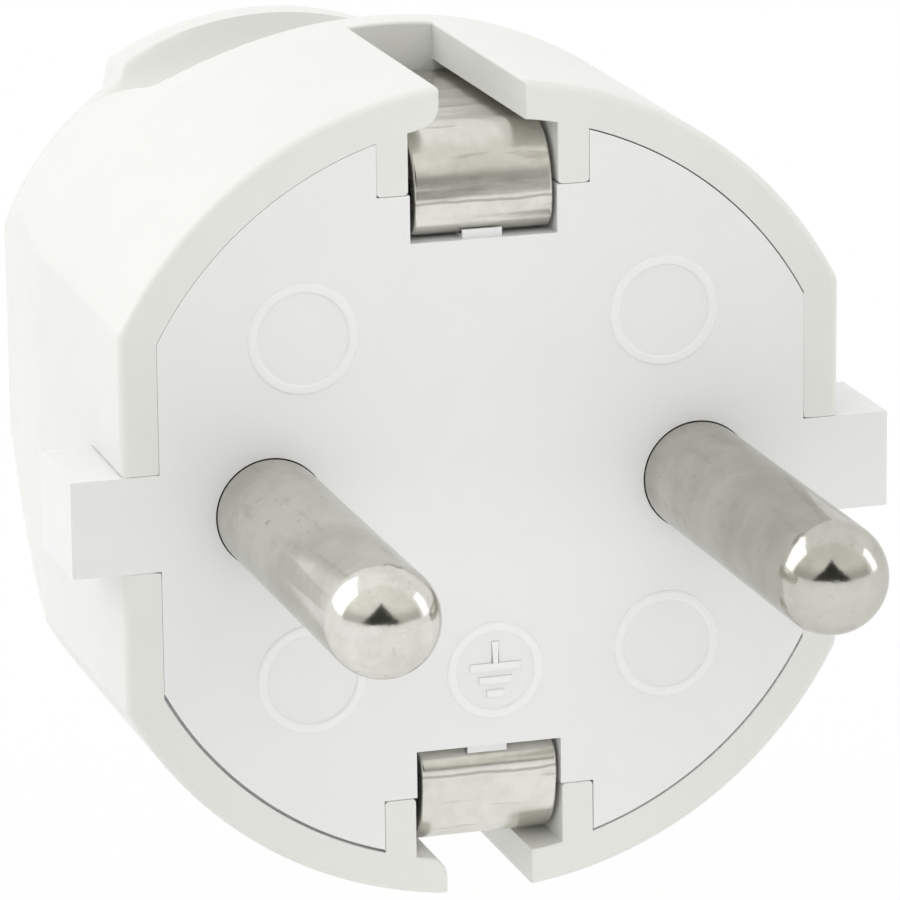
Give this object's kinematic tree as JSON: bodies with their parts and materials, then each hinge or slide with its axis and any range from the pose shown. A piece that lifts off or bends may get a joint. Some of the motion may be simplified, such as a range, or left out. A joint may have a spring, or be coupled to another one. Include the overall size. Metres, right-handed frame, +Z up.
{
  "type": "mains plug",
  "caption": "Rewirable round mains plug with round pins, sprung earth contacts in slots of its rim, flat sides with guide ears, finger scoops above and below, and a straight rear cord entry.",
  "frame": {"origin": "centre of the front face, midway between the pins", "axes": "+Y from the face back to the cord entry, so the pins point to -Y; +Z up towards one earth contact; +X across the pins"},
  "size_m": [0.0364, 0.0565, 0.036],
  "materials": {
    "casing_plastic": "warm white thermoset, satin",
    "carrier_plastic": "cool white thermoset, satin",
    "plated_pin": "turned brass, nickel plated",
    "plated_strip": "folded spring strip, nickel plated",
    "zinc_screw": "zinc plated",
    "bare_brass": "turned, bare"
  },
  "bodies": {
    "root": {"casing": "casing_plastic", "pin_carrier": "carrier_plastic", "left_pin": "plated_pin", "right_pin": "plated_pin", "pin_terminal_screws": "zinc_screw", "earth_bracket": "plated_strip", "earth_terminal_bush": "bare_brass", "earth_clamp_washer": "zinc_screw", "earth_terminal_screw": "zinc_screw", "casing_screws": "zinc_screw", "threaded_inserts": "bare_brass", "cord_clamp_bar": "carrier_plastic", "cord_clamp_screws": "zinc_screw"}
  },
  "joints": []
}
